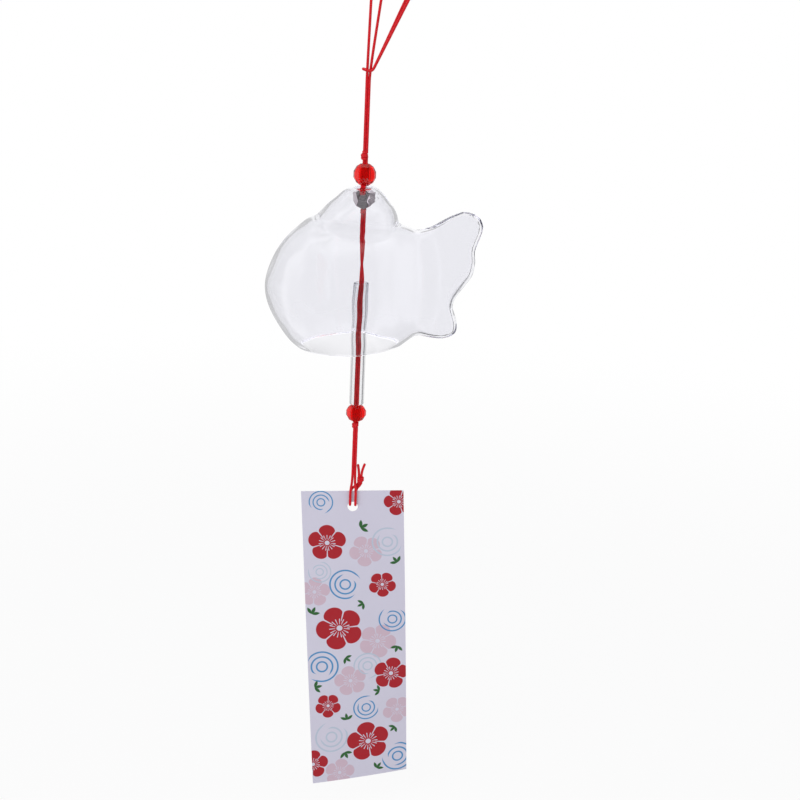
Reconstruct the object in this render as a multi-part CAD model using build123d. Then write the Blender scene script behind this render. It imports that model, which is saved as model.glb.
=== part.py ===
"""Furin wind bell: a blown-glass fish bell on a red cord, with a glass tube clapper and a paper strip.

Millimetres. +Z is up, +X runs towards the fish's tail, and the cord hangs along the Z axis.
The origin is on the cord's plumb line, at the height of the axis of the peg that carries the loop.
"""
import math
import os

from build123d import *

# Cord: two strands side by side
cord_d = 1.0
strand_gap = 0.12
running_gap = 0.3
swing_gap = 0.6
flex_gap = 0.4

# Hanging loop
hitch_drop = 28.6
hitch_fork = 0.4
hitch_tuck = 0.3
hitch_bight = 0.7
neck_drop = 71.4

# Beads
upper_bead_d = 8.6
upper_bead_h = 8.2
lower_bead_d = 8.0
lower_bead_h = 7.0
stopper_bead_d = 9.4
bead_bore = 2.7
bead_sides = 12
upper_bead_lift = 0.4

# Knots
knot_d = 2.9
knot_core_d = 2.5
knot_end_d = 2.3
upper_knot_h = 4.2
stopper_knot_h = 2.2
lower_knot_h = 2.6
tie_knot_h = 3.0
knot_tilt = 22
knot_turn = 40
upper_knot_gap = 1.2

# Glass bell
bell_length = 84.7
bell_height = 62.6
bell_depth = 56.0
bell_tilt = 2.7
bell_wall = 1.3
neck_wall = 0.95
neck_lip = 0.6
neck_hole_d = 6.5
overrun = 10.0

# Clapper
clapper_length = 80.0
clapper_top_length = 3.0
tube_od = 5.8
tube_id = 4.0
tube_length = 49.5
tube_edge = 0.4

# Paper strip and the cord that carries it
streamer_drop = 34.1
streamer_top_length = 11.0
paper_width = 42.0
paper_length = 134.0
paper_thickness = 0.3
paper_hole_d = 4.3
paper_hole_drop = 6.9
hole_strand_pitch = 2.2
face_gap = 0.4
tie_offset = 2.6
tie_back = 0.5
tie_lift = 5.0
tie_lead = 0.9
fork_drop = 1.0
face_rise = 0.8
back_rise = 0.6
hole_rise = 0.78
tail_length = 4.6
tail_spread = 9
tail_lean = 9

# The fish's body from nose to tail: place, top and bottom, half depth, and how far the wall leans
# along the body there. Shares of the bell's length, height, half depth and wall
body_station_shares = [
    (-0.445, -0.514, -0.738, 0.236, 0.85),
    (-0.407, -0.399, -0.835, 0.464, 0.65),
    (-0.342, -0.286, -0.968, 0.707, 0.50),
    (-0.248, -0.185, -1.061, 0.900, 0.30),
    (-0.142, -0.160, -1.121, 0.993, 0.10),
    (-0.047, -0.165, -1.131, 0.986, 0.00),
    (0.059, -0.190, -1.089, 0.875, -0.20),
    (0.153, -0.227, -1.003, 0.661, -0.40),
    (0.236, -0.272, -0.927, 0.436, -0.45),
]
nose_shares = (-0.459, -0.620)

# The pinched tail carries on past its own outline, which then trims it
tail_station_shares = [
    (0.319, -0.192, -0.998, 0.243),
    (0.401, -0.104, -1.038, 0.150),
    (0.549, -0.024, -1.086, 0.093),
]
tail_outline_shares = [
    (0.236, -0.270),
    (0.307, -0.251),
    (0.378, -0.188),
    (0.475, -0.147),
    (0.541, -0.244),
    (0.514, -0.359),
    (0.505, -0.495),
    (0.455, -0.623),
    (0.404, -0.743),
    (0.424, -0.871),
    (0.397, -0.954),
    (0.313, -0.950),
    (0.236, -0.925),
]
trim_start_share = 0.236

# The neck's dome, from the top down: height, centre, radius, and the wall's lean outwards.
# Shares of the bell's height, length, half depth and neck wall
neck_station_shares = [
    (0.000, 0.000, 0.139, 0.00),
    (-0.018, -0.012, 0.236, 0.60),
    (-0.054, -0.009, 0.329, 0.70),
    (-0.093, -0.021, 0.418, 0.75),
    (-0.131, -0.026, 0.479, 0.78),
    (-0.187, -0.035, 0.568, 0.80),
    (-0.319, -0.047, 0.625, 0.80),
]

# A faceted bead's rings of corners: height and radius as shares of its half height and half width
bead_ring_shares = [(1.0, 0.42), (0.74, 0.76), (0.27, 1.0), (-0.27, 1.0), (-0.74, 0.76), (-1.0, 0.42)]

# Worked-out heights, from the top down
strand_pitch = cord_d + strand_gap
cord_r = cord_d / 2
neck_z = -neck_drop
upper_bead_z = neck_z + upper_bead_lift + upper_bead_h / 2
upper_knot_bottom = upper_bead_z + upper_bead_h / 2 + upper_knot_gap
upper_knot_z = upper_knot_bottom + upper_knot_h / 2
stopper_r = stopper_bead_d / 2
seat_rise = math.sqrt((stopper_r + running_gap) ** 2 - (neck_hole_d / 2) ** 2)
stopper_z = neck_z - neck_lip - seat_rise
pole_polar = math.acos(math.sqrt((5 + 2 * math.sqrt(5)) / 15))
belt_polar = math.acos(math.sqrt((5 - 2 * math.sqrt(5)) / 15))
stopper_half_h = stopper_r * math.cos(pole_polar)
stopper_knot_z = stopper_z - stopper_half_h - running_gap - stopper_knot_h / 2
stopper_knot_bottom = stopper_knot_z - stopper_knot_h / 2
clapper_top_z = stopper_knot_bottom - swing_gap
clapper_pivot_z = clapper_top_z - cord_r
clapper_split_z = clapper_top_z - clapper_top_length - flex_gap / 2
lower_bead_z = stopper_knot_bottom - clapper_length
lower_knot_top = lower_bead_z - lower_bead_h / 2 - running_gap
lower_knot_z = lower_knot_top - lower_knot_h / 2
lower_knot_bottom = lower_knot_top - lower_knot_h
tube_bottom = lower_bead_z + lower_bead_h / 2 + running_gap
streamer_top = lower_knot_bottom - running_gap
streamer_split_z = streamer_top - streamer_top_length - flex_gap / 2
hole_z = lower_knot_bottom - streamer_drop
paper_top = hole_z + paper_hole_drop
tie_bottom = paper_top + tie_lift - tie_knot_h / 2
tie_z = tie_bottom + tie_knot_h / 2


def vertical_strand(x, z_top, z_bottom, round_top=False, round_bottom=False):
    """A straight strand of cord, with half-ball ends where it flexes."""
    high = z_top - cord_r if round_top else z_top
    low = z_bottom + cord_r if round_bottom else z_bottom
    strand = Pos(x, 0, low) * Cylinder(cord_r, high - low, align=(Align.CENTER, Align.CENTER, Align.MIN))
    if round_top:
        strand += Pos(x, 0, high) * Sphere(cord_r)
    if round_bottom:
        strand += Pos(x, 0, low) * Sphere(cord_r)
    return strand


def strand_pair(z_top, z_bottom, round_top=False, round_bottom=False):
    """Both strands of the doubled cord."""
    return [vertical_strand(side * strand_pitch / 2, z_top, z_bottom, round_top, round_bottom)
            for side in (-1, 1)]


def cord_tube(name, points, radii):
    """A tube of cord along straight runs joined by tangent arcs, with its volume compared."""
    path = FilletPolyline(*points, radius=radii)
    tube = sweep(Plane(origin=path @ 0, z_dir=path % 0) * Circle(cord_r), path=path)
    expected = math.pi * cord_r ** 2 * path.length
    print(name, "length", round(path.length, 2), "radii", radii, "volume ratio",
          round(tube.volume / expected, 4))
    return tube


def knot(x, y, z, height, wraps):
    """A tightened knot: a barrel with flat ends and tilted turns of cord round it."""
    end_r = knot_end_d / 2
    with BuildPart() as barrel:
        with BuildSketch(Plane.XZ):
            with BuildLine():
                Line((0, -height / 2), (end_r, -height / 2))
                ThreePointArc((end_r, -height / 2), (knot_core_d / 2, 0), (end_r, height / 2))
                Line((end_r, height / 2), (0, height / 2))
                Line((0, height / 2), (0, -height / 2))
            make_face()
        revolve(axis=Axis.Z)
    solid = barrel.part
    for turn in range(wraps):
        rise = (turn - (wraps - 1) / 2) * strand_pitch
        wrap = Rot(knot_tilt / 2, knot_tilt, knot_turn) * Torus((knot_d - cord_d) / 2, cord_r)
        solid += Pos(0, 0, rise) * wrap
    return Pos(x, y, z) * solid


def ring_bead(z, width, height):
    """A round bead cut all over with rows of facets, bored along Z."""
    rings = [Pos(0, 0, rise * height / 2) * RegularPolygon(reach * width / 2, bead_sides)
             for rise, reach in reversed(bead_ring_shares)]
    return Pos(0, 0, z) * (loft(rings, ruled=True) - Cylinder(bead_bore / 2, height + overrun))


def pentagon_bead(z, width):
    """A bead with twelve pentagon facets, one towards the front, bored along Z."""
    def corner(polar, turn):
        azimuth = math.radians(-54 + 36 * turn)
        reach = width / 2 * math.sin(polar)
        return (reach * math.cos(azimuth), reach * math.sin(azimuth), width / 2 * math.cos(polar))

    upper = [corner(pole_polar, 2 * k) for k in range(5)]
    upper_belt = [corner(belt_polar, 2 * k) for k in range(5)]
    lower_belt = [corner(math.pi - belt_polar, 2 * k + 1) for k in range(5)]
    lower = [corner(math.pi - pole_polar, 2 * k + 1) for k in range(5)]
    outlines = [upper, lower]
    for k in range(5):
        after = (k + 1) % 5
        outlines.append([upper[k], upper_belt[k], lower_belt[k], upper_belt[after], upper[after]])
        outlines.append([lower[k], lower_belt[k], upper_belt[after], lower_belt[after], lower[after]])
    shell = Shell([Face(Wire.make_polygon(outline, close=True)) for outline in outlines])
    return Pos(0, 0, z) * (Solid(shell) - Cylinder(bead_bore / 2, width + overrun))


def body_section(x, top, bottom, half_depth):
    """An upright oval across the fish."""
    plane = Plane(origin=(x, 0, (top + bottom) / 2), x_dir=(0, 0, 1), z_dir=(1, 0, 0))
    return plane * Ellipse((top - bottom) / 2, half_depth)


def body_sections(inset):
    """The fish's ovals, drawn in by the wall for its hollow."""
    sections = []
    for x, top, bottom, depth, lean in body_station_shares:
        across = inset * math.sqrt(1 - lean ** 2)
        sections.append(body_section(
            x * bell_length + inset * lean,
            top * bell_height - across,
            bottom * bell_height + across,
            depth * bell_depth / 2 - across))
    return sections


def nose(inset):
    return Vertex(nose_shares[0] * bell_length + inset, 0, nose_shares[1] * bell_height)


def tail_outline(inset):
    """The tail's two lobes from top to bottom, each point drawn in square to its neighbours."""
    points = [(x * bell_length, z * bell_height) for x, z in tail_outline_shares]
    moved = []
    for (x, z), before, after in zip(points, points[:1] + points, points[1:] + points[-1:]):
        run = after[0] - before[0]
        rise = after[1] - before[1]
        moved.append((x + inset * rise / math.hypot(run, rise), z - inset * run / math.hypot(run, rise)))
    return moved


def fish_skin(inset):
    """Body and tail in one skin, drawn in by the wall for its hollow, the tail trimmed to its two lobes."""
    tail = [body_section(x * bell_length, top * bell_height, bottom * bell_height, depth * bell_depth / 2 - inset)
            for x, top, bottom, depth in tail_station_shares]
    skin = loft([nose(inset)] + body_sections(inset) + tail)
    points = tail_outline(inset)
    start = trim_start_share * bell_length
    back = -bell_length
    with BuildPart() as trim:
        with BuildSketch(Plane.XZ):
            with BuildLine():
                Spline(*points)
                Polyline(points[-1], (start, -2 * bell_height), (back, -2 * bell_height),
                         (back, bell_height), (start, bell_height), points[0])
            make_face()
        extrude(amount=bell_depth, both=True)
    return skin & trim.part


def neck_dome(inset):
    """The dome that runs up from the back to the neck hole, drawn in by the wall for its inside."""
    rings = []
    for z, x, reach, lean in neck_station_shares:
        drop = neck_lip if inset and z == 0 else inset * math.sqrt(1 - lean ** 2)
        radius = neck_hole_d / 2 - running_gap if inset and z == 0 else reach * bell_depth / 2 - inset * lean
        rings.append(Pos(x * bell_length, 0, z * bell_height - drop) * Circle(radius))
    return loft(rings)


def glass_bell():
    """The glass shell, cut across at its mouth, open at the neck and hung a little nose down."""
    glass = fish_skin(0) + neck_dome(0)
    glass -= fish_skin(bell_wall)
    glass -= neck_dome(neck_wall)
    glass -= Cylinder(neck_hole_d / 2, overrun)
    below = Box(2 * bell_length, 2 * bell_depth, bell_height, align=(Align.CENTER, Align.CENTER, Align.MAX))
    glass -= Pos(0, 0, -bell_height) * below
    return Pos(0, 0, stopper_z) * Rot(0, -bell_tilt, 0) * Pos(0, 0, neck_z - stopper_z) * glass


def hanging_loop():
    """One strand up from the knot, over the peg, round the stem in the hitch and back the same way."""
    side = strand_pitch / 2
    stem_end = upper_knot_z + upper_knot_h / 2
    hitch = -hitch_drop
    points = [
        (-side, 0, stem_end), (-side, 0, hitch - hitch_fork),
        (0.2, -0.6, 4.8), (9.2, -0.6, 8.3), (15.6, -0.6, 1.1),
        (1.3, -1.25, hitch - hitch_tuck), (-2.0, -1.25, hitch + hitch_bight),
        (-2.0, 1.25, hitch + hitch_bight), (1.3, 1.25, hitch - hitch_tuck),
        (14.2, 0.6, 0.9), (10.3, 0.6, 5.6), (4.5, 0.6, 3.8),
        (side, 0, hitch - hitch_fork), (side, 0, stem_end)]
    radii = [120, 6.8, 6.8, 6.8, 1.1, 1.15, 1.15, 1.1, 4.4, 4.4, 4.4, 120]
    return cord_tube("hanging_loop", points, radii)


def clapper_tube():
    """A cut length of glass tube, its ends melted round."""
    tube = Cylinder(tube_od / 2, tube_length) - Cylinder(tube_id / 2, tube_length)
    rims = tube.edges().filter_by(GeomType.CIRCLE)
    return Pos(0, 0, tube_bottom + tube_length / 2) * fillet(rims, tube_edge)


def streamer_strand(side):
    """One strand down the paper's face, through its hole and up behind it to the tie."""
    x_stem = side * strand_pitch / 2
    x_hole = side * hole_strand_pitch / 2
    y_face = paper_thickness / 2 + face_gap + cord_r
    lowest = hole_z + hole_rise
    x_tie = tie_offset + side * strand_pitch / 2
    y_tie = tie_back + cord_r
    points = [
        (x_stem, 0, streamer_split_z - flex_gap / 2 - cord_r), (x_stem, 0, tie_z - fork_drop),
        (x_hole, -y_face, paper_top + face_rise), (x_hole, -y_face, lowest), (x_hole, y_face, lowest),
        (x_hole, y_face, paper_top + back_rise), (x_tie, y_tie, tie_bottom - tie_lead), (x_tie, y_tie, tie_bottom)]
    radii = [6, 6, 1.0, 1.0, 1.3, 1.0]
    strand = cord_tube("streamer strand", points, radii)
    return strand + Pos(*points[0]) * Sphere(cord_r)


def cord_tails():
    """The two cut ends of the cord above the tie."""
    tails = []
    for side in (-1, 1):
        foot = Pos(tie_offset + side * strand_pitch / 2, tie_back, tie_z + tie_knot_h / 2 + strand_gap)
        upright = Cylinder(cord_r, tail_length, align=(Align.CENTER, Align.CENTER, Align.MIN))
        tails.append(foot * Rot(-tail_lean, side * tail_spread, 0) * upright)
    return tails


def paper_strip():
    """The wind paper with its round hole."""
    sheet = Pos(0, 0, paper_top - paper_length / 2) * Box(paper_width, paper_thickness, paper_length)
    return sheet - Pos(0, 0, hole_z) * Rot(90, 0, 0) * Cylinder(paper_hole_d / 2, overrun)


nodes = {
    "hanging_loop": [hanging_loop()],
    "upper_knot": [knot(0, 0, upper_knot_z, upper_knot_h, 3)],
    "upper_bead": [ring_bead(upper_bead_z, upper_bead_d, upper_bead_h)],
    "neck_cord": strand_pair(upper_knot_bottom, stopper_knot_z + stopper_knot_h / 2),
    "stopper_bead": [pentagon_bead(stopper_z, stopper_bead_d)],
    "stopper_knot": [knot(0, 0, stopper_knot_z, stopper_knot_h, 1)],
    "glass_bell": [glass_bell()],
    "clapper_cord_upper": strand_pair(clapper_top_z, clapper_split_z + flex_gap / 2, True, True),
    "clapper_cord_lower": strand_pair(clapper_split_z - flex_gap / 2, lower_knot_top, True, False),
    "clapper_tube": [clapper_tube()],
    "lower_bead": [ring_bead(lower_bead_z, lower_bead_d, lower_bead_h)],
    "lower_knot": [knot(0, 0, lower_knot_z, lower_knot_h, 1)],
    "streamer_cord_upper": strand_pair(streamer_top, streamer_split_z + flex_gap / 2, False, True),
    "streamer_cord_lower": [streamer_strand(side) for side in (-1, 1)],
    "tie_knot": [knot(tie_offset, tie_back, tie_z, tie_knot_h, 1)],
    "cord_tails": cord_tails(),
    "paper_strip": [paper_strip()],
}

os.makedirs("parts", exist_ok=True)
for name, solids in nodes.items():
    shape = solids[0] if len(solids) == 1 else Compound(children=solids)
    export_step(shape, f"parts/{name}.step")
    box = shape.bounding_box()
    print(name, [round(v, 2) for v in (*box.min, *box.max)], "volume", round(shape.volume, 2))
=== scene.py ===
"""Furin wind bell: a blown-glass fish on a red cord, with beads, a glass tube and a paper strip."""
import math
from functools import reduce

import bpy
import numpy as np
from mathutils import Matrix, Vector


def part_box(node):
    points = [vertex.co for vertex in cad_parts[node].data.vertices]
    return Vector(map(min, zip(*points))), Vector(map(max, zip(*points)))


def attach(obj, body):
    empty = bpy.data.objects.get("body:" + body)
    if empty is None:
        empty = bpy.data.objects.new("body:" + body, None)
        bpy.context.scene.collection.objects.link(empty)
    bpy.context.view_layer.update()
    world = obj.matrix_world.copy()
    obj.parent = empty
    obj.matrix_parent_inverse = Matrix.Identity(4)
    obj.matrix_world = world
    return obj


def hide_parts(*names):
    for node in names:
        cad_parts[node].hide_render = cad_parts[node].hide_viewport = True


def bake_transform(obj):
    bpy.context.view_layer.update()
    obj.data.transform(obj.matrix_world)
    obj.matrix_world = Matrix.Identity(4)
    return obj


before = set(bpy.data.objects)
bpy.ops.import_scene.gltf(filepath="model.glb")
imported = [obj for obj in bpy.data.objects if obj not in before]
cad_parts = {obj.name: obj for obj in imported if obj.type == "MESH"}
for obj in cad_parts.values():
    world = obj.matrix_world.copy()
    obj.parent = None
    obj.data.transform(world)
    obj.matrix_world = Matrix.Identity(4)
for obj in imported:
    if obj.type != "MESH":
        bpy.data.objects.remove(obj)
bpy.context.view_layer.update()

MM = 0.001

# Camera of the photograph
PHOTO_SIZE = 800
SENSOR_WIDTH = 36.0
CAMERA_FOCAL_PX = 1308
CAMERA_DISTANCE = 524 * MM
CAMERA_TILT = 16.9
CAMERA_ROLL = 2.67
CAMERA_TARGET = Vector((17.4, 0.0, -155.9)) * MM

# Cord: two strands side by side, bunched where a bead's bore holds them
CORD_D = 1.0 * MM
STRAND_PITCH = 1.0 * MM
STRAND_R = 0.53 * MM
BUNCH_R = 1.37 * MM
BUNCH_INSET = 1.5
CORD_SIDES = 12
SPLINE_STEPS = 24
# A strand's rounded end: how far out and how wide, as shares of its radius
CAP_SHARES = [(0.45, 0.90), (0.85, 0.53)]


def node_box(node):
    """A node's lowest and highest corners as vectors."""
    low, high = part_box(node)
    return Vector(low), Vector(high)


def node_middle(node):
    low, high = node_box(node)
    return (low + high) / 2


def node_heights(node):
    """A node's lowest and highest points, in millimetres."""
    low, high = node_box(node)
    return low.z / MM, high.z / MM


# Camera

def make_camera():
    """The photograph's view: looking along +Y and a little down."""
    tilt = math.radians(CAMERA_TILT)
    data = bpy.data.cameras.new("camera")
    data.sensor_width = SENSOR_WIDTH
    data.lens = CAMERA_FOCAL_PX / PHOTO_SIZE * SENSOR_WIDTH
    camera = bpy.data.objects.new("camera", data)
    bpy.context.collection.objects.link(camera)
    aim = Vector((0, math.cos(tilt), -math.sin(tilt)))
    camera.location = CAMERA_TARGET - aim * CAMERA_DISTANCE
    roll = Matrix.Rotation(math.radians(CAMERA_ROLL), 3, "Z")
    camera.rotation_euler = (aim.to_track_quat("-Z", "Y").to_matrix() @ roll).to_euler()
    bpy.context.scene.camera = camera


make_camera()


# Mesh helpers

def mesh_object(name, vertices, faces, smooth=True):
    """A new mesh object in the row frame."""
    mesh = bpy.data.meshes.new(name)
    mesh.from_pydata([tuple(v) for v in vertices], [], [tuple(f) for f in faces])
    mesh.polygons.foreach_set("use_smooth", [smooth] * len(mesh.polygons))
    mesh.update()
    thing = bpy.data.objects.new(name, mesh)
    bpy.context.collection.objects.link(thing)
    return thing


def spline_points(points):
    """Points along the smooth line of a route, read from its NURBS spline."""
    curve = bpy.data.curves.new("route", "CURVE")
    curve.dimensions = "3D"
    curve.resolution_u = SPLINE_STEPS
    spline = curve.splines.new("NURBS")
    spline.points.add(len(points) - 1)
    for knot, place in zip(spline.points, points):
        knot.co = (*place, 1.0)
    spline.order_u = 3
    spline.use_endpoint_u = True
    thing = bpy.data.objects.new("route", curve)
    bpy.context.collection.objects.link(thing)
    line = bpy.data.meshes.new_from_object(thing)
    places = np.array([v.co[:] for v in line.vertices])
    bpy.data.objects.remove(thing)
    bpy.data.curves.remove(curve)
    bpy.data.meshes.remove(line)
    return places


def lengths_along(points):
    """How far along its line each point lies."""
    return np.concatenate([[0], np.cumsum(np.linalg.norm(np.diff(points, axis=0), axis=1))])


def evenly(points, step):
    """The same line with points a steady step apart."""
    along = lengths_along(points)
    count = max(2, int(round(along[-1] / step)) + 1)
    wanted = np.linspace(0, along[-1], count)
    return np.stack([np.interp(wanted, along, points[:, k]) for k in range(3)], axis=1)


def transported_frames(points):
    """Two cross directions at each point, carried along the line without twist."""
    ahead = np.gradient(points, axis=0)
    ahead /= np.linalg.norm(ahead, axis=1)[:, None]
    first = np.cross(ahead[0], (0.3, 1.0, 0.2))
    first /= np.linalg.norm(first)
    firsts = [first]
    for direction in ahead[1:]:
        first = firsts[-1] - direction * np.dot(firsts[-1], direction)
        firsts.append(first / np.linalg.norm(first))
    firsts = np.array(firsts)
    return firsts, np.cross(ahead, firsts), ahead


def ring_quads(rows, sides, closed=False):
    """Quads from each ring of points to the next, and from the last to the first if closed."""
    return [(row * sides + k, row * sides + (k + 1) % sides,
             (row + 1) % rows * sides + (k + 1) % sides, (row + 1) % rows * sides + k)
            for row in range(rows if closed else rows - 1) for k in range(sides)]


def tube_geometry(points, radius):
    """Vertices, faces and UVs of a tube with rounded ends; V runs along it in millimetres."""
    sides = CORD_SIDES
    across, upward, ahead = transported_frames(points)
    along = lengths_along(points)
    angles = np.linspace(0, 2 * math.pi, sides, endpoint=False)
    end = len(points) - 1
    stations = [(points[0] - ahead[0] * radius * out, 0, share, -radius * out)
                for out, share in CAP_SHARES[::-1]]
    stations += [(place, index, 1.0, along[index]) for index, place in enumerate(points)]
    stations += [(points[end] + ahead[end] * radius * out, end, share, along[end] + radius * out)
                 for out, share in CAP_SHARES]
    rings = [place + radius * share * (np.cos(angles)[:, None] * across[index]
                                       + np.sin(angles)[:, None] * upward[index])
             for place, index, share, _ in stations]
    heights = [height / MM for _, _, _, height in stations]
    faces = ring_quads(len(rings), sides)
    uvs = [(side / sides, heights[level]) for row in range(len(rings) - 1) for k in range(sides)
           for side, level in ((k, row), (k + 1, row), (k + 1, row + 1), (k, row + 1))]
    last = (len(rings) - 1) * sides
    faces.append(tuple(reversed(range(sides))))
    uvs += [(0.5, heights[0])] * sides
    faces.append(tuple(range(last, last + sides)))
    uvs += [(0.5, heights[-1])] * sides
    return np.concatenate(rings), faces, uvs


def cord_object(name, lines, bunched=()):
    """One mesh of strands along the lines, and of thick bunched cord along the bunched ones."""
    vertices = []
    faces = []
    uvs = []
    count = 0
    tubes = [(line, STRAND_R) for line in lines] + [(line, BUNCH_R) for line in bunched]
    for line, radius in tubes:
        places, corners, marks = tube_geometry(line, radius)
        vertices.append(places)
        faces += [tuple(count + corner for corner in face) for face in corners]
        uvs += marks
        count += len(places)
    thing = mesh_object(name, np.concatenate(vertices), faces)
    layer = thing.data.uv_layers.new(name="cord")
    layer.data.foreach_set("uv", np.array(uvs, np.float32).ravel())
    return thing


# Stopper bead: a cut crystal, tipped so that the cord enters at its front

CRYSTAL_R = 4.7
CRYSTAL_LIFT = math.radians(21)
CRYSTAL_SIDE = math.radians(-8)
GOLDEN = (1 + math.sqrt(5)) / 2
FACET_SLACK = 0.1


def crystal_turn():
    """How the cut bead hangs: its bored facet tipped to the front."""
    level = math.atan(1 / GOLDEN)
    lift = Matrix.Rotation(CRYSTAL_LIFT - level, 3, "X")
    return Matrix.Rotation(math.pi + CRYSTAL_SIDE, 3, "Z") @ lift


def bored_facet():
    """The middle of the facet that the cord enters, from the middle of the bead, in millimetres."""
    depth = CRYSTAL_R * GOLDEN ** 2 / math.sqrt(3 * (1 + GOLDEN ** 2))
    return crystal_turn() @ Vector((0, GOLDEN, 1)).normalized() * depth


def stopper_crystal():
    """The cut bead under the neck hole, a dodecahedron."""
    signs = (-1, 1)
    corners = [Vector((a, b, c)) for a in signs for b in signs for c in signs]
    ways = []
    for a in signs:
        for b in signs:
            corners += [Vector((0, a / GOLDEN, b * GOLDEN)), Vector((a / GOLDEN, b * GOLDEN, 0)),
                        Vector((b * GOLDEN, 0, a / GOLDEN))]
            ways += [Vector((a, 0, b * GOLDEN)), Vector((0, b * GOLDEN, a)), Vector((b * GOLDEN, a, 0))]
    faces = []
    for way in ways:
        ring = [k for k, corner in enumerate(corners) if corner.dot(way) > GOLDEN ** 2 - FACET_SLACK]
        first = corners[ring[0]] - way * corners[ring[0]].dot(way) / way.length_squared
        second = way.cross(first).normalized() * first.length
        angles = {k: math.atan2(corners[k].dot(second), corners[k].dot(first)) for k in ring}
        faces.append(sorted(ring, key=angles.get))
    turn = crystal_turn()
    middle = node_middle("stopper_bead")
    size = CRYSTAL_R * MM / math.sqrt(3)
    places = [middle + turn @ corner * size for corner in corners]
    crystal = mesh_object("stopper_crystal", places, faces, smooth=False)
    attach(crystal, "stopper")
    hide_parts("stopper_bead")
    return crystal


crystal = stopper_crystal()


# Cords, their routes in millimetres

SIDE = STRAND_PITCH / 2 / MM
CORD_STEP = 0.35 * MM
HITCH_Z = -28.6
STEM_Z = -35.0
KNOT_OVERLAP = 0.6
PLUMB_WANDER = (0, 0.05, -0.04, 0.03, -0.02, 0)
WANDER_BACK = 0.6


def route(points):
    """A smooth line through a route's points, given in millimetres."""
    return evenly(spline_points([tuple(np.array(p) * MM) for p in points]), CORD_STEP)


def hanging_loop():
    """The doubled loop over its peg, drawn round its own stem in a girth hitch."""
    stem_end = node_heights("upper_knot")[1] - KNOT_OVERLAP
    points = [
        (-SIDE, 0, stem_end), (-SIDE, 0, STEM_Z), (-SIDE, 0, HITCH_Z - 0.4), (0.01, -0.45, -3.6),
        (0.2, -0.6, 4.8), (9.2, -0.6, 8.3), (15.6, -0.6, 1.1), (12.7, -0.73, -4.9),
        (3.0, -1.17, -25.4), (1.3, -1.25, HITCH_Z - 0.3), (-2.0, -1.25, HITCH_Z + 0.7),
        (-2.0, 1.25, HITCH_Z + 0.7), (1.3, 1.25, HITCH_Z - 0.3), (2.85, 1.17, -25.4),
        (11.6, 0.73, -5.0), (14.2, 0.6, 0.9), (10.3, 0.6, 5.6), (4.5, 0.6, 3.8),
        (3.5, 0.45, -4.4), (SIDE, 0, HITCH_Z - 0.4), (SIDE, 0, STEM_Z), (SIDE, 0, stem_end)]
    line = route(points)
    loop = cord_object("hanging_loop_cord", [line])
    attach(loop, "hanger")
    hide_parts("hanging_loop")
    return loop


def in_bore(bead):
    """A line through a bead, a little short of its ends."""
    low, high = node_heights(bead)
    return route([(0, 0, high - BUNCH_INSET), (0, 0, low + BUNCH_INSET)])


def twisted_pair(centre, turn_at):
    """Both strands of the doubled cord along a line, turning slowly round each other."""
    pair = []
    for side in (-1, 1):
        angles = np.array([turn_at(place[2] / MM) for place in centre])
        offset = np.stack([np.cos(angles), np.sin(angles), np.zeros(len(angles))], axis=1)
        pair.append(centre + side * STRAND_PITCH / 2 * offset)
    return pair


def side_by_side(z):
    """A pair that does not turn: its strands lie left and right."""
    return 0.0


def plumb(top, bottom):
    """A hanging stretch of cord between two heights, with a slight wander."""
    heights = np.linspace(top, bottom, len(PLUMB_WANDER))
    return route([(w, WANDER_BACK * w, z) for w, z in zip(PLUMB_WANDER, heights)])


# Over the stopper bead: share of the way out to its bored facet, and height over its middle
OVER_CRYSTAL = [(0, 10.0), (0, 6.6), (0.25, 5.5), (0.8, 4.2), (1.12, 2.8)]
INTO_FACET = 0.95
OUT_OF_FACET = 0.9
NECK_OVERLAPS = (0.5, 0.4)


def neck_cord():
    """The doubled cord through the upper bead, the neck hole and the crystal, front to back."""
    low, high = node_heights("neck_cord")
    top = high + NECK_OVERLAPS[0]
    bottom = low - NECK_OVERLAPS[1]
    middle = node_middle("stopper_bead").z / MM
    facet = bored_facet()
    steps = OVER_CRYSTAL + [(INTO_FACET, facet.z), (0, 0), (-OUT_OF_FACET, -facet.z)]
    points = [(share * facet.x, share * facet.y, middle + height) for share, height in steps]
    pair = twisted_pair(route([(0, 0, top), *points, (0, 0, bottom)]), side_by_side)
    cord = cord_object("neck_cord_pair", pair, bunched=[in_bore("upper_bead")])
    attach(cord, "hanger")
    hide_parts("neck_cord")
    return cord


CLAPPER_TURN_Z = -101.5
CLAPPER_TURN_LENGTH = 24.0
ROOT_OVERLAP = 0.5
SPLIT_LIFT = 1.0


def clapper_turn(z):
    """The pair makes half a turn in the bell, edge on at the middle of it."""
    share = (CLAPPER_TURN_Z - z) / CLAPPER_TURN_LENGTH + 0.5
    share = min(max(share, 0.0), 1.0)
    return math.pi * share * share * (3 - 2 * share)


def clapper_cords():
    """The doubled cord inside the bell, cut where it flexes under the stopper knot."""
    knot_bottom = node_heights("stopper_knot")[0]
    split = node_heights("clapper_cord_upper")[0] + SPLIT_LIFT
    bottom = node_heights("lower_knot")[1] - KNOT_OVERLAP
    root = plumb(knot_bottom + ROOT_OVERLAP, split)
    short = cord_object("clapper_cord_root", twisted_pair(root, clapper_turn))
    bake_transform(short)
    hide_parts("clapper_cord_upper")
    made = [short]
    for name, line in zip(("left", "right"), twisted_pair(plumb(split, bottom), clapper_turn)):
        strand = cord_object(f"clapper_cord_{name}", [line])
        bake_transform(strand)
        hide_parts("clapper_cord_lower")
        made.append(strand)
    return made


STREAMER_SPLIT_Z = -175.5
STRAIGHT_Z = -180.0
# The strands at the paper's hole: how far they lie from its face and from each other
PAPER_FACE_Y = 1.05
HOLE_X = 1.1
TIE_X = 2.6


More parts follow.
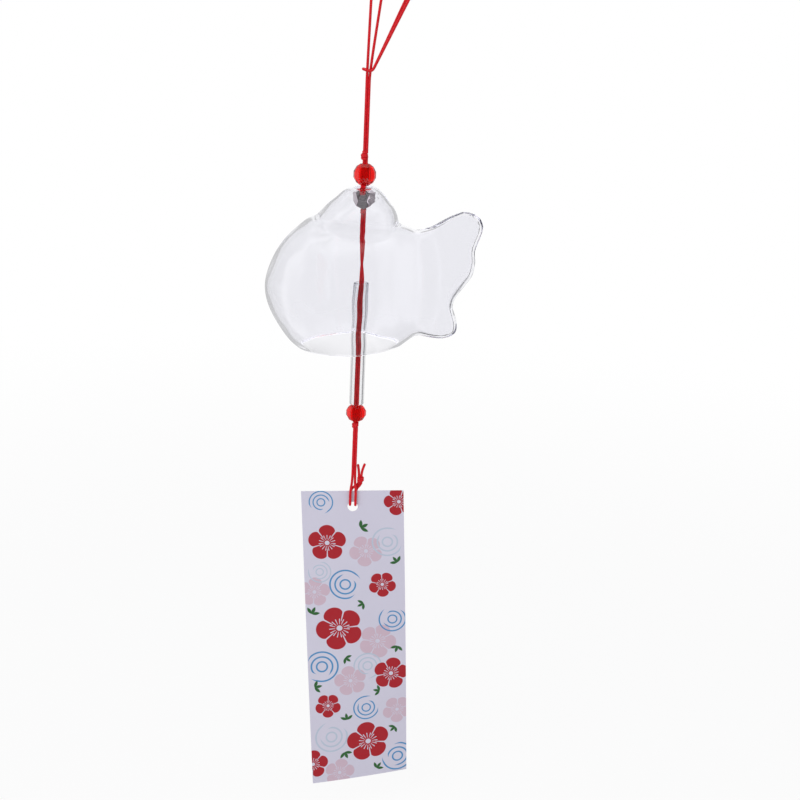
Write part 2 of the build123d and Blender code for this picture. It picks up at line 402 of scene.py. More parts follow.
def streamer_cords():
    """The doubled cord from the lower knot, through the paper's hole and back up to the tie."""
    knot_bottom = node_heights("lower_knot")[0]
    tie_low, tie_high = node_heights("tie_knot")
    paper_top = node_heights("paper_strip")[1]
    lowest = node_heights("streamer_cord_lower")[0] + CORD_D / MM / 2
    root = plumb(knot_bottom + KNOT_OVERLAP, STREAMER_SPLIT_Z)
    short = cord_object("streamer_cord_root", twisted_pair(root, side_by_side))
    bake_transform(short)
    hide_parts("streamer_cord_upper")
    made = [short]
    for name, side in (("left", -1), ("right", 1)):
        down = [(side * SIDE, 0, z) for z in (STREAMER_SPLIT_Z, STRAIGHT_Z, tie_high - 2.4)]
        front = [(side * HOLE_X, -PAPER_FACE_Y, z) for z in (paper_top + 0.8, paper_top - 3.4, lowest)]
        back = [(side * HOLE_X, PAPER_FACE_Y, z) for z in (lowest, paper_top - 3.4, paper_top + 0.6)]
        tied = [(TIE_X + side * SIDE, y, tie_low + rise) for y, rise in ((1.0, -0.9), (0.8, 0.6))]
        line = route(down + front + back + tied)
        strand = cord_object(f"streamer_cord_{name}", [line])
        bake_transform(strand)
        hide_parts("streamer_cord_lower")
        made.append(strand)
    return made


# Knots, in millimetres

KNOT_STEPS = 8
KNOT_OUT = 0.3
KNOT_IN = 0.5
KNOT_CORE = 0.4
# The coil: its strands' lead and lift, how it stays short of the ends, its tilt and its waist
STRAND_LEAD = 0.25
STRAND_LIFT = 0.42
COIL_INSET = 2.0
COIL_TILT = 0.32
COIL_TILT_ANGLE = 0.6
COIL_WAIST = 0.7


def knot_lines(middle, height, turns, reach, start_angle, lean):
    """Two strands that run in, wind side by side round the cord and run out again."""
    lines = []
    x, y, z = (value / MM for value in middle)
    top, bottom = z + height / 2, z - height / 2
    for side in (-1, 1):
        points = [(x + side * SIDE, y, top + KNOT_OUT), (x + side * KNOT_CORE, y, top - KNOT_IN)]
        steps = int(turns * KNOT_STEPS)
        for step in range(steps + 1):
            share = step / steps
            angle = start_angle + side * STRAND_LEAD + 2 * math.pi * turns * share
            rise = (0.5 - share) * (height - COIL_INSET) + side * STRAND_LIFT
            tilt = COIL_TILT * math.cos(angle - COIL_TILT_ANGLE)
            swell = math.sin(math.pi * share)
            out = reach * (COIL_WAIST + (1 - COIL_WAIST) * swell)
            points.append((x + lean * swell + out * math.cos(angle), y + out * math.sin(angle),
                           z + rise + tilt))
        points += [(x + side * KNOT_CORE, y, bottom + KNOT_IN), (x + side * SIDE, y, bottom - KNOT_OUT)]
        lines.append(route(points))
    return lines


def knot_object(node, body, turns, reach, start_angle, lean, bunched=()):
    """A tightened knot in the doubled cord, in place of the node's barrel."""
    low, high = node_heights(node)
    lines = knot_lines(node_middle(node), high - low, turns, reach, start_angle, lean)
    knot = cord_object(f"{node}_turns", lines, bunched=bunched)
    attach(knot, body)
    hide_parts(node)
    return knot


# The cut ends: side, how far they spread and how far they stand up
CORD_ENDS = [(-1, -0.55, 4.3), (1, 1.1, 4.7)]


def tail_object():
    """The cut ends of the cord above the tie, melted to a blunt tip."""
    top = node_heights("tie_knot")[1]
    y = node_middle("tie_knot").y / MM
    lines = []
    for side, spread, length in CORD_ENDS:
        x = TIE_X + side * SIDE
        lines.append(route([(x, y, top - 0.8), (x, y, top + 0.6),
                            (x + spread * 0.35, y + 0.45, top + length * 0.6),
                            (x + spread, y + 0.65, top + length)]))
    tails = cord_object("cord_tail_ends", lines)
    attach(tails, "streamer")
    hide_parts("cord_tails")
    return tails


cord_pieces = [
    hanging_loop(), neck_cord(), *clapper_cords(), *streamer_cords(),
    knot_object("upper_knot", "hanger", turns=1.5, reach=1.05, start_angle=2.6, lean=-0.45),
    knot_object("stopper_knot", "hanger", turns=1.0, reach=0.85, start_angle=0.4, lean=0.0),
    knot_object("lower_knot", "clapper", turns=1.25, reach=1.0, start_angle=3.6, lean=-0.2,
                bunched=[in_bore("lower_bead")]),
    knot_object("tie_knot", "streamer", turns=1.5, reach=1.0, start_angle=0.9, lean=0.2),
    tail_object()]


# Blown glass bell: a shell round an implicit fish, in millimetres from the middle of the neck's top

# Along the body and tail: x, top, bottom and half depth
BODY_STATIONS = [
    (-39, -39, -39, 0), (-37.5, -32, -46.5, 7), (-34.5, -25, -52.5, 13),
    (-29, -18, -60.5, 20), (-21, -11.5, -66.5, 25), (-12, -10, -70, 28),
    (-4, -10.5, -71, 27.5), (5, -12, -68, 24.5), (13, -14, -63, 18.5),
    (20, -17, -58, 12), (26, -15.5, -59.5, 7), (32, -12, -60, 4.5),
    (38, -9.5, -59.5, 3.5), (46, -9, -58.5, 2.5), (60, -9, -58.5, 2)]
# The tail's end, two lobes with a notch: z and x
TAIL_END = [(-3, 31), (-9, 40.5), (-11, 44), (-15, 46), (-18, 45.5), (-22.5, 43.5),
            (-25.5, 42.5), (-29, 43), (-34.5, 42), (-39, 38.5), (-43.5, 35), (-46.5, 34),
            (-49.5, 35), (-53, 36), (-57, 36), (-59.5, 34), (-64, 26)]
# The dome under the neck hole: z, middle and radius
NECK_STATIONS = [(0, 0, 4), (-1, -1, 6.5), (-3.5, -1, 9), (-6, -2, 11.5),
                 (-8, -2, 13.5), (-11.5, -3, 16), (-16, -4, 17.5), (-30, -4, 18)]
# How softly each table is drawn
MIDDLE_SPREAD = 1.5
HALF_SPREAD = 1.2
TAIL_SPREAD = 1.1
NECK_SPREAD = 0.9
TABLE_STEP = 0.1
# The wall, from the neck to the body and on to the tail, and its waves as a share of it
NECK_WALL = 0.95
BELL_WALL = 1.3
TAIL_WALL = 1.4
NECK_WALL_RUN = 14
TAIL_WALL_START = 16
TAIL_WALL_RUN = 16
WAVE_SHARE = 0.09
# Openings, and how round the edges and folds are
NECK_HOLE_R = 3.25
NECK_FLOOR = -22
TAIL_ROUND = 3.0
NECK_TOP_ROUND = 0.5
NECK_FLOOR_ROUND = 6.0
NECK_FOLD = 1.0
EDGE_ROUND = 0.5
MOUTH_ROUND = 1.0
HOLE_ROUND = 0.4
# How the bell hangs
NECK_Z = -71.4
BELL_MOUTH_Z = -62.6
BELL_TILT = 2.7
# The mesh: where its grid lies, the grid's step, and how it is evened out
BELL_LOW = (-41.0, -30.5, BELL_MOUTH_Z - 1.5)
BELL_HIGH = (49.0, 30.5, 2.0)
BELL_GRID = 0.6
EVEN_ROUNDS = 4
EVEN_SHARE = 0.6
# Guards of the distances
FAR = 30
LEAST_SLOPE = 1e-3
LEAST_HALF = 0.01


def smooth_table(places, values, spread):
    """A table drawn as a soft line: sampled places, values and slopes."""
    order = np.argsort(places)
    places = np.asarray(places, float)[order]
    values = np.asarray(values, float)[order]
    margin = 4 * spread
    grid = np.arange(places[0] - margin, places[-1] + margin, TABLE_STEP)
    line = np.interp(grid, places, values)
    slopes = np.diff(values) / np.diff(places)
    before, after = grid < places[0], grid > places[-1]
    line[before] = values[0] + (grid[before] - places[0]) * slopes[0]
    line[after] = values[-1] + (grid[after] - places[-1]) * slopes[-1]
    reach = np.arange(-margin, margin + TABLE_STEP / 2, TABLE_STEP)
    weights = np.exp(-(reach / spread) ** 2 / 2)
    soft = np.convolve(line, weights / weights.sum(), mode="same")
    edge = len(reach) // 2
    soft[:edge] = line[:edge]
    soft[-edge:] = line[-edge:]
    return grid, soft, np.gradient(soft, TABLE_STEP)


def look_up(table, at):
    grid, values, slopes = table
    return np.interp(at, grid, values), np.interp(at, grid, slopes)


def body_tables():
    x, top, bottom, depth = (np.array(column) for column in zip(*BODY_STATIONS))
    half = np.maximum((top - bottom) / 2, LEAST_HALF)
    flat = half / np.maximum(depth, LEAST_HALF)
    flat[0] = flat[1]
    return (smooth_table(x, (top + bottom) / 2, MIDDLE_SPREAD), smooth_table(x, half ** 2, HALF_SPREAD),
            smooth_table(x, flat ** 2, MIDDLE_SPREAD))


def neck_tables():
    z, middle, radius = (np.array(column) for column in zip(*NECK_STATIONS))
    return smooth_table(z, middle, NECK_SPREAD), smooth_table(z, radius ** 2, NECK_SPREAD)


BODY_MIDDLE, BODY_HALF_SQUARED, BODY_FLATNESS = body_tables()
TAIL_LINE = smooth_table(*zip(*TAIL_END), TAIL_SPREAD)
NECK_MIDDLE, NECK_SQUARED = neck_tables()


def soft_max(a, b, reach):
    """The greater of two distances, with the corner between them rounded off."""
    near = np.maximum(reach - np.abs(a - b), 0) / reach
    return np.maximum(a, b) + near ** 2 * reach / 4


def body_distance(x, y, z):
    """About how far a place is from the fish's body and tail, negative inside."""
    middle, middle_slope = look_up(BODY_MIDDLE, x)
    half, half_slope = look_up(BODY_HALF_SQUARED, x)
    flat, flat_slope = look_up(BODY_FLATNESS, x)
    rise = z - middle
    value = rise ** 2 + flat * y ** 2 - half
    slope = np.sqrt((-2 * rise * middle_slope + flat_slope * y ** 2 - half_slope) ** 2
                    + (2 * flat * y) ** 2 + (2 * rise) ** 2)
    skin = np.clip(value / np.maximum(slope, LEAST_SLOPE), -FAR, FAR)
    end, end_slope = look_up(TAIL_LINE, z)
    return soft_max(skin, (x - end) / np.sqrt(1 + end_slope ** 2), TAIL_ROUND)


def neck_distance(x, y, z):
    """About how far a place is from the dome under the neck hole, negative inside."""
    middle, middle_slope = look_up(NECK_MIDDLE, z)
    squared, squared_slope = look_up(NECK_SQUARED, z)
    value = (x - middle) ** 2 + y ** 2 - squared
    slope = np.sqrt((2 * (x - middle)) ** 2 + (2 * y) ** 2
                    + (-2 * (x - middle) * middle_slope - squared_slope) ** 2)
    skin = np.clip(value / np.maximum(slope, LEAST_SLOPE), -FAR, FAR)
    return soft_max(soft_max(skin, z, NECK_TOP_ROUND), NECK_FLOOR - z, NECK_FLOOR_ROUND)


def glass_waves(x, y, z):
    """The slow waves that blowing leaves in the glass, a share of the wall."""
    return (0.5 * np.sin(0.31 * x + 0.12 * z + 1.0) * np.sin(0.27 * y + 0.6)
            + 0.35 * np.sin(0.47 * z - 0.22 * x + 2.0)
            + 0.3 * np.sin(0.42 * y + 0.33 * z + 0.4 * np.sin(0.2 * x)))


def bell_distance(places):
    """About how far places are from the glass, negative inside it."""
    x, y, z = places[..., 0], places[..., 1], places[..., 2]
    skin = -soft_max(-body_distance(x, y, z), -neck_distance(x, y, z), NECK_FOLD)
    thick = NECK_WALL + (BELL_WALL - NECK_WALL) * np.clip(-z / NECK_WALL_RUN, 0, 1)
    thick = thick + (TAIL_WALL - BELL_WALL) * np.clip((x - TAIL_WALL_START) / TAIL_WALL_RUN, 0, 1)
    hollow = skin + thick * (1 + WAVE_SHARE * glass_waves(x, y, z))
    shell = soft_max(skin, -hollow, EDGE_ROUND)
    shell = soft_max(shell, BELL_MOUTH_Z - z, MOUTH_ROUND)
    return soft_max(shell, NECK_HOLE_R - np.hypot(x, y), HOLE_ROUND)


def slope_of(distance, places, step=0.02):
    """Which way a distance grows, by small differences."""
    slope = np.empty_like(places)
    for k in range(3):
        shift = np.zeros(3)
        shift[k] = step
        slope[:, k] = (distance(places + shift) - distance(places - shift)) / (2 * step)
    return slope


def drawn_to_skin(distance, places, rounds=4, reach=0.4):
    """Places moved on to the surface where the distance is zero."""
    for _ in range(rounds):
        slope = slope_of(distance, places)
        size = np.maximum((slope ** 2).sum(axis=1), 0.05)
        shift = np.clip(distance(places) / size, -reach, reach)
        places = places - shift[:, None] * slope
    return places


def surface_net(distance, low, high, step):
    """A mesh of quads on the surface where the distance is zero."""
    axes = [np.arange(low[k], high[k] + step, step) for k in range(3)]
    grid = np.stack(np.meshgrid(*axes, indexing="ij"), axis=-1)
    value = distance(grid)
    inside = value < 0
    total = np.zeros(tuple(n - 1 for n in inside.shape) + (3,))
    hits = np.zeros(total.shape[:3])
    corner = [slice(0, -1), slice(1, None)]
    for k in range(3):
        others = [m for m in range(3) if m != k]
        for i in (0, 1):
            for j in (0, 1):
                start, stop = [None] * 3, [None] * 3
                start[k], stop[k] = corner[0], corner[1]
                start[others[0]] = stop[others[0]] = corner[i]
                start[others[1]] = stop[others[1]] = corner[j]
                a, b = value[tuple(start)], value[tuple(stop)]
                crossing = (a < 0) != (b < 0)
                share = np.where(crossing, a / np.where(crossing, a - b, 1), 0)
                place = grid[tuple(start)].copy()
                place[..., k] += share * step
                total += np.where(crossing[..., None], place, 0)
                hits += crossing
    active = hits > 0
    number = np.full(active.shape, -1)
    number[active] = np.arange(active.sum())
    places = total[active] / hits[active][:, None]
    quads = []
    for k in range(3):
        one, two = (k + 1) % 3, (k + 2) % 3
        first = [slice(1, -1)] * 3
        first[k] = slice(0, -1)
        second = list(first)
        second[k] = slice(1, None)
        a, b = inside[tuple(first)], inside[tuple(second)]
        spots = np.argwhere(a != b)
        outward = a[tuple(spots.T)]
        base = spots.copy()
        base[:, one] += 1
        base[:, two] += 1
        back_one, back_two = np.zeros(3, int), np.zeros(3, int)
        back_one[one] = back_two[two] = 1
        ring = [base - back_one - back_two, base - back_two, base, base - back_one]
        quad = np.stack([number[tuple(cell.T)] for cell in ring], axis=1)
        quads.append(np.where(outward[:, None], quad, quad[:, ::-1]))
    return places, np.concatenate(quads)


def evened(distance, places, quads, rounds):
    """Places drawn towards the middle of their neighbours and back on to the surface."""
    pairs = np.concatenate([quads[:, [0, 1]], quads[:, [1, 2]], quads[:, [2, 3]], quads[:, [3, 0]]])
    ends = np.concatenate([pairs, pairs[:, ::-1]])
    count = np.bincount(ends[:, 0], minlength=len(places))
    for _ in range(rounds):
        middle = np.stack([np.bincount(ends[:, 0], weights=places[ends[:, 1], k], minlength=len(places))
                           for k in range(3)], axis=1) / count[:, None]
        places = drawn_to_skin(distance, places + EVEN_SHARE * (middle - places), rounds=2)
    return places


def hung(places):
    """The bell's own places in the frame: it hangs a little nose down on its bead."""
    pivot = node_middle("stopper_bead").z / MM
    turn = math.radians(BELL_TILT)
    x, z = places[:, 0], places[:, 2] + NECK_Z - pivot
    return np.stack([x * math.cos(turn) - z * math.sin(turn), places[:, 1],
                     x * math.sin(turn) + z * math.cos(turn) + pivot], axis=1) * MM


def glass_bell():
    """The fish-shaped bell of blown glass, with melted edges at the mouth and the neck hole."""
    places, quads = surface_net(bell_distance, BELL_LOW, BELL_HIGH, BELL_GRID)
    places = drawn_to_skin(bell_distance, places)
    places = evened(bell_distance, places, quads, EVEN_ROUNDS)
    glass = mesh_object("blown_glass_fish", hung(places), quads.tolist())
    outward = slope_of(bell_distance, places)
    outward /= np.linalg.norm(outward, axis=1)[:, None]
    outward = hung(outward) - hung(np.zeros((1, 3)))
    glass.data.normals_split_custom_set_from_vertices((outward / MM).tolist())
    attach(glass, "bell")
    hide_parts("glass_bell")
    return glass


bell = glass_bell()


# Glass tube

TUBE_SEGMENTS = 72
TUBE_BORE_D = 4.0
TUBE_LIP_STEPS = 8


def clapper_tube():
    """A cut length of glass tube, its ends melted round."""
    low, high = node_box("clapper_tube")
    outer = (high.x - low.x) / 2
    inner = TUBE_BORE_D / 2 * MM
    wall = outer - inner
    middle = (outer + inner) / 2
    profile = []
    for end, sign in ((high.z, 1), (low.z, -1)):
        for step in range(TUBE_LIP_STEPS + 1):
            angle = math.pi * step / TUBE_LIP_STEPS
            reach = math.cos(angle) * sign
            profile.append((middle + wall / 2 * reach, end - sign * wall / 2 * (1 - math.sin(angle))))
    turns = np.linspace(0, 2 * math.pi, TUBE_SEGMENTS, endpoint=False)
    places = [(r * math.cos(a), r * math.sin(a), z) for r, z in profile for a in turns]
    faces = ring_quads(len(profile), TUBE_SEGMENTS, closed=True)
    tube = mesh_object("clapper_glass_tube", places, faces)
    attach(tube, "tube")
    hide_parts("clapper_tube")
    return tube


tube = clapper_tube()


# Paper strip, in millimetres and degrees

PAPER_HOLE_D = 4.3
PAPER_HOLE_DROP = 6.9
PAPER_TURN = 3.4
PAPER_TWIST = 15.0
TWIST_POWER = 1.2
PAPER_CURL = 0.6
EDGE_CURL = 0.5
# Its mesh: a grid with a square block left out for the rings round the hole
PAPER_CELL = 1.0
HOLE_BLOCK = 3.0
ROWS_ABOVE = 5
ROWS_BESIDE = 7
ROWS_BELOW = 118
HOLE_RINGS = (0.5, 1.0)
TINY = 1e-6


def paper_face(width, length):
    """The flat sheet as points across and down from the hole, and its quads, round the hole."""
    across = np.linspace(-width / 2, width / 2, int(round(width / PAPER_CELL)) + 1)
    down = np.concatenate([np.linspace(PAPER_HOLE_DROP, HOLE_BLOCK, ROWS_ABOVE)[:-1],
                           np.linspace(HOLE_BLOCK, -HOLE_BLOCK, ROWS_BESIDE),
                           np.linspace(-HOLE_BLOCK, PAPER_HOLE_DROP - length, ROWS_BELOW)[1:]])
    number = {}
    points = []
    faces = []
    for j, z in enumerate(down):
        for i, x in enumerate(across):
            if max(abs(x), abs(z)) > HOLE_BLOCK - TINY:
                number[i, j] = len(points)
                points.append((x, z))
    for j in range(len(down) - 1):
        for i in range(len(across) - 1):
            corners = [(i, j), (i, j + 1), (i + 1, j + 1), (i + 1, j)]
            if all(corner in number for corner in corners):
                middle = max(abs(across[i] + across[i + 1]), abs(down[j] + down[j + 1])) / 2
                if middle > HOLE_BLOCK:
                    faces.append(tuple(number[corner] for corner in corners))
    edge = [k for k, (x, z) in enumerate(points) if abs(max(abs(x), abs(z)) - HOLE_BLOCK) < TINY]
    edge.sort(key=lambda k: math.atan2(points[k][1], points[k][0]))
    rings = [edge]
    for share in HOLE_RINGS:
        ring = []
        for k in edge:
            x, z = points[k]
            scale = 1 + share * (PAPER_HOLE_D / 2 / math.hypot(x, z) - 1)
            ring.append(len(points))
            points.append((x * scale, z * scale))
        rings.append(ring)
    for outer, inner in zip(rings, rings[1:]):
        for k in range(len(outer)):
            after = (k + 1) % len(outer)
            faces.append((outer[k], outer[after], inner[after], inner[k]))
    return np.array(points), faces


def paper_strip():
    """The wind paper on its cord: a stiff glossy card, turned a little and slightly twisted."""
    low, high = node_box("paper_strip")
    width, thick, length = (high - low) / MM
    hole_z = high.z / MM - PAPER_HOLE_DROP
    flat, quads = paper_face(width, length)
    x, z = flat[:, 0], flat[:, 1]
    share = np.clip(-z / (length - PAPER_HOLE_DROP), 0, 1)
    twist = math.radians(PAPER_TWIST) * share ** TWIST_POWER
    turn = math.radians(PAPER_TURN)
    bulge = PAPER_CURL * np.sin(math.pi * share) + EDGE_CURL * share * (x / (width / 2)) ** 2
    side = x * np.cos(twist)
    back = x * np.sin(twist) + bulge
    right = side * math.cos(turn) - z * math.sin(turn)
    up = side * math.sin(turn) + z * math.cos(turn)
    middle = np.stack([right, back, up + hole_z], axis=1)
    normal = np.stack([np.sin(twist), -np.cos(twist), np.zeros(len(x))], axis=1)
    count = len(flat)
    places = np.concatenate([middle + normal * thick / 2, middle - normal * thick / 2]) * MM
    edges = dict.fromkeys(edge for face in quads for edge in zip(face, face[1:] + face[:1]))
    faces = quads + [tuple(count + k for k in reversed(face)) for face in quads]
    rim = [(a, b) for a, b in edges if (b, a) not in edges]
    faces += [(b, a, count + a, count + b) for a, b in rim]
    paper = mesh_object("wind_paper", places, faces, smooth=False)
    layer = paper.data.uv_layers.new(name="print")
    marks = np.concatenate([flat, flat])[[k for face in faces for k in face]]
    layer.data.foreach_set("uv", marks.astype(np.float32).ravel())
    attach(paper, "paper")
    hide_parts("paper_strip")
    return paper


paper = paper_strip()


# Materials

def srgb(red, green, blue):
    """A colour as written in a picture, 0 to 255, as Blender's linear values."""
    parts = [value / 255 for value in (red, green, blue)]
    return (*[p / 12.92 if p <= 0.04045 else ((p + 0.055) / 1.055) ** 2.4 for p in parts], 1.0)


class Recipe:
    """A material's or the world's nodes, with short ways to add and join them."""

    def __init__(self, name, tree=None):
        if tree is None:
            self.material = bpy.data.materials.new(name)
            self.material.use_nodes = True
            tree = self.material.node_tree
            self.shader = tree.nodes["Principled BSDF"]
        self.tree = tree

    def set(self, **values):
        """The shader's inputs by name, each a value or what another node gives."""
        for name, value in values.items():
            socket = name.replace("_", " ").title().replace("Ior", "IOR")
            self.feed(value, self.shader.inputs[socket])

    def add(self, kind, **settings):
        node = self.tree.nodes.new(kind)
        for name, value in settings.items():
            setattr(node, name, value)
        return node

    def feed(self, source, target):
        if hasattr(source, "is_output"):
            self.tree.links.new(source, target)
        else:
            target.default_value = source

    def fed(self, kind, *values, **settings):
        """A new node with its first inputs fed."""
        node = self.add(kind, **settings)
        for value, target in zip(values, node.inputs):
            self.feed(value, target)
        return node

    def math(self, operation, *values):
        return self.fed("ShaderNodeMath", *values, operation=operation).outputs[0]

    def all_of(self, *masks):
        return reduce(lambda one, other: self.math("MULTIPLY", one, other), masks)

    def any_of(self, *masks):
        return reduce(lambda one, other: self.math("MAXIMUM", one, other), masks)

    def vector(self, operation, *values):
        node = self.fed("ShaderNodeVectorMath", *values, operation=operation)
        return node.outputs["Value" if operation in ("LENGTH", "DOT_PRODUCT") else "Vector"]

    def parts(self, vector):
        """A vector's x, y and z."""
        return self.fed("ShaderNodeSeparateXYZ", vector).outputs

    def ramp(self, value, low, high, to_low=0.0, to_high=1.0):
        """A soft step from one value to another."""
        return self.fed("ShaderNodeMapRange", value, low, high, to_low, to_high,
                        interpolation_type="SMOOTHSTEP").outputs[0]

    def mix(self, share, first, second):
        node = self.add("ShaderNodeMix", data_type="RGBA")
        self.feed(share, node.inputs[0])
        self.feed(first, node.inputs[6])
        self.feed(second, node.inputs[7])
        return node.outputs[2]

    def noise(self, scale):
        node = self.fed("ShaderNodeTexNoise", self.add("ShaderNodeTexCoord").outputs["Object"])
        node.inputs["Scale"].default_value = scale
        return node.outputs[0]

    def bump(self, height, distance, strength):
        node = self.add("ShaderNodeBump")
        node.inputs["Strength"].default_value = strength
        node.inputs["Distance"].default_value = distance
        self.feed(height, node.inputs["Height"])
        self.set(normal=node.outputs[0])

    def show(self, output, share, first, second):
        """Two shaders blended into the surface of an output."""
        node = self.fed("ShaderNodeMixShader", share, first.outputs[0], second.outputs[0])
        self.feed(node.outputs[0], self.tree.nodes[output].inputs["Surface"])


CORD_RED = srgb(246, 32, 46)
# The braid's crowns take the bright red, and its grooves a darker red as painted shade
CORD_GROOVE_SHADE = srgb(202, 10, 24)
CORD_WORN = srgb(180, 6, 20)
# The braid: yarns round the strand, and how fast they wind along it, per millimetre
BRAID_YARNS = 2
BRAID_WIND = 6.5
BRAID_DEPTH = 0.08 * MM


def cord_material():
    """Satin red cord, round-braided from fine yarns, with painted shade in the braid's grooves."""
    recipe = Recipe("red_braided_cord")
    uv = recipe.add("ShaderNodeUVMap", uv_map="cord").outputs[0]
    round_it, along, _ = recipe.parts(uv)
    angle = recipe.math("MULTIPLY", round_it, BRAID_YARNS * 2 * math.pi)
    waves = [recipe.math("SINE", recipe.math("MULTIPLY_ADD", along, wind, angle))
             for wind in (BRAID_WIND, -BRAID_WIND)]
    weave = recipe.math("MULTIPLY_ADD", recipe.math("MULTIPLY", *waves), 0.5, 0.5)
    # Painted shade: where the braid is low, in its grooves, the red is darker
    colour = recipe.mix(weave, CORD_GROOVE_SHADE, CORD_RED)
    worn = recipe.ramp(recipe.noise(700), 0.45, 0.75, 0.0, 0.4)
    recipe.set(base_color=recipe.mix(worn, colour, CORD_WORN), specular_ior_level=0.3,
               roughness=recipe.ramp(weave, 0.0, 1.0, 0.5, 0.34))
    recipe.bump(weave, BRAID_DEPTH, 0.6)
    return recipe.material


WHITE = (1.0, 1.0, 1.0, 1.0)
GLASS_IOR = 1.47
ACRYLIC_IOR = 1.49
ACRYLIC_CLEARNESS = 0.85
BELL_DENSITY = 9
TUBE_DENSITY = 25
# Painted glow on the bell's rim: white emission, full near the mouth's plane and fading out above it
RIM_GLOW_BAND = (0.15 * MM, 0.5 * MM)
PAINTED_RIM_GLOW = 0.6


def glass_material(name, colour, ior, clearness=1.0):
    """Clear glass or acrylic, faintly uneven in its polish."""
    recipe = Recipe(name)
    recipe.set(base_color=colour, transmission_weight=clearness, ior=ior,
               roughness=recipe.ramp(recipe.noise(100), 0.55, 0.8, 0.0, 0.03))
    return recipe


def absorbing(recipe, colour, density):
    """The tint that the glass takes on where light runs far through it."""
    depth = recipe.fed("ShaderNodeVolumeAbsorption", colour, density)
    recipe.feed(depth.outputs[0], recipe.tree.nodes["Material Output"].inputs["Volume"])


def bell_material():
    """Blown glass, whose rim has a painted glow of white emission for the light that the wall carries
    down to it.
    """
    recipe = glass_material("bell_glass", srgb(252, 252, 255), GLASS_IOR)
    absorbing(recipe, srgb(176, 176, 192), BELL_DENSITY)
    axis = np.array([(0, 0, BELL_MOUTH_Z), (0, 0, BELL_MOUTH_Z + 1)])
    rim, above = (Vector(place) for place in hung(axis))
    place = recipe.vector("SUBTRACT", recipe.add("ShaderNodeTexCoord").outputs["Object"], tuple(rim))
    height = recipe.vector("DOT_PRODUCT", place, tuple((above - rim).normalized()))
    # Painted glow: a thin band at the rim emits white light, though no lamp is there
    recipe.set(emission_color=WHITE, emission_strength=recipe.ramp(height, *RIM_GLOW_BAND, PAINTED_RIM_GLOW, 0.0))
    return recipe.material


def tube_material():
    recipe = glass_material("tube_glass", srgb(253, 253, 254), GLASS_IOR)
    absorbing(recipe, srgb(176, 176, 190), TUBE_DENSITY)
    return recipe.material


def acrylic_material():
    """Red transparent acrylic."""
    recipe = glass_material("red_acrylic", srgb(255, 24, 20), ACRYLIC_IOR, ACRYLIC_CLEARNESS)
    recipe.set(specular_ior_level=0.3)
    return recipe.material


def crystal_material():
    """Cut crystal, silvered so that its facets mirror the beads and the room; the silver's faint pink
    tint is a painted reflection of the red beads and cord.
    """
    recipe = Recipe("silvered_crystal")
    # Painted reflection: the silver is tinted faintly pink for the red that the facets mirror
    recipe.set(base_color=srgb(230, 218, 224), metallic=1.0,
               roughness=recipe.ramp(recipe.noise(300), 0.4, 0.8, 0.02, 0.08))
    return recipe.material


# Print of the paper strip: traditional plum blossoms, ripples and leaf sprigs

PAPER_WHITE = srgb(225, 222, 239)
PAPER_SHADE = srgb(219, 216, 234)
PRINT_RED = srgb(186, 26, 40)
PRINT_BLUE = srgb(84, 152, 206)
PRINT_GREEN = srgb(52, 110, 56)
GHOST_PINK = srgb(217, 192, 208)
GHOST_BLUE = srgb(196, 208, 226)
CARD_GRAIN = 0.02 * MM

# Each motif's places: across, up from the hole, radius in millimetres, and turn
BLOSSOMS = [(-11, -16, 8, 0.3), (11.5, -35.5, 5.8, 1), (-7, -55, 10, 0.7),
            (14.5, -78, 7.6, 0.1), (-13, -91, 5.6, 0.9), (4, -110, 9.4, 0.45),
            (19, 2, 6.2, 0.6), (-20.5, -118, 6.6, 0.2)]
GHOST_BLOSSOMS = [(5, -20, 7, 0.8), (-17, -38, 6.6, 0.2), (9, -62, 8, 1.1),
                  (-3, -80, 7, 0.5), (17, -96, 6.4, 0.9), (-9, -123.5, 6.6, 0.1)]
RIPPLES = [(-4, -35, 6.4, 0.6), (15.5, -52, 5.6, 2.4), (-15, -72.5, 6.8, 4.2),
           (3.5, -93.5, 5.4, 1.4), (17, -119.5, 6.6, 3.3), (-13, 2, 4.8, 5.2)]
GHOST_RIPPLES = [(14, -16, 6.2, 1.2), (-14.5, -29, 4.6, 3), (4.5, -73.5, 5.8, 5),
                 (-12, -106, 6.8, 2.1)]
SPRIGS = [(3, -9.5, 3.6, 0.5), (18, -25.5, 3.2, 2.2), (-18.5, -48, 3.5, 1.1),
          (3.5, -44, 3, 3.6), (17.5, -65, 3.2, 4.4), (-5, -69, 3, 5.6),
          (-18.5, -82, 3.4, 0.2), (9.5, -86, 3, 2.9), (-5, -98.5, 3.2, 1.7),
          (16, -104.5, 3, 3.9), (-6.5, -114, 3.4, 5.1), (7.5, -124, 3.2, 0.9)]
# Shares of a motif's radius, and counts
PETALS = 5
STAMENS = 15
PETAL_ROUND = 0.42
RINGS = 3.0
RING_TURN = 4.0
LEAF_TURNS = (-1.0, 0.0, 1.0)
LEAF_WIDTH = 0.8


